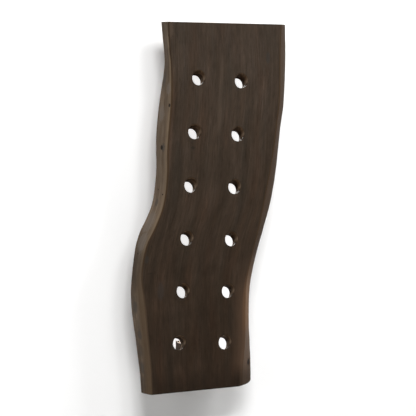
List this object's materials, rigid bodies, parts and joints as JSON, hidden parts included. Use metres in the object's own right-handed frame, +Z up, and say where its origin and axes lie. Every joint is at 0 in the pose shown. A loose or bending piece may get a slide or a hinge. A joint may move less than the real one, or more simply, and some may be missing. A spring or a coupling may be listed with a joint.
{
  "type": "wall wine rack",
  "caption": "Live-edge wooden board that holds wine bottles by the neck in slanting bores, hung off the wall on a bevelled cleat and a lower spacer.",
  "frame": {"origin": "middle of the wall cleat's back face, on the wall above the middle of the top row of bores", "axes": "+X to the right along the wall as seen from the room, +Y into the wall, +Z up"},
  "size_m": [0.4053, 0.091, 0.9045],
  "materials": {
    "board_wood": "dark grey-brown stain under satin oil, paler natural edges",
    "batten_wood": "planed hardwood, oiled",
    "spacer_wood": "dark grey-brown stain, sawn block",
    "screw_steel": "zinc plated",
    "felt": "pressed felt"
  },
  "bodies": {
    "wall_cleat": {"wall_cleat": "batten_wood"},
    "rack": {"live_edge_board": "board_wood", "hanging_batten": "batten_wood", "rack_cleat": "batten_wood", "lower_spacer": "spacer_wood", "batten_screw_1": "screw_steel", "batten_screw_2": "screw_steel", "batten_screw_3": "screw_steel", "batten_screw_4": "screw_steel", "cleat_screw_1": "screw_steel", "cleat_screw_2": "screw_steel", "cleat_screw_3": "screw_steel", "spacer_screw_1": "screw_steel", "spacer_screw_2": "screw_steel", "felt_pad_left": "felt", "felt_pad_right": "felt"}
  },
  "joints": [
    {"name": "lift_off", "type": "slide", "parent": "wall_cleat", "child": "rack", "axis": [0, 0, 1], "range_m": [0, 0.025]}
  ]
}
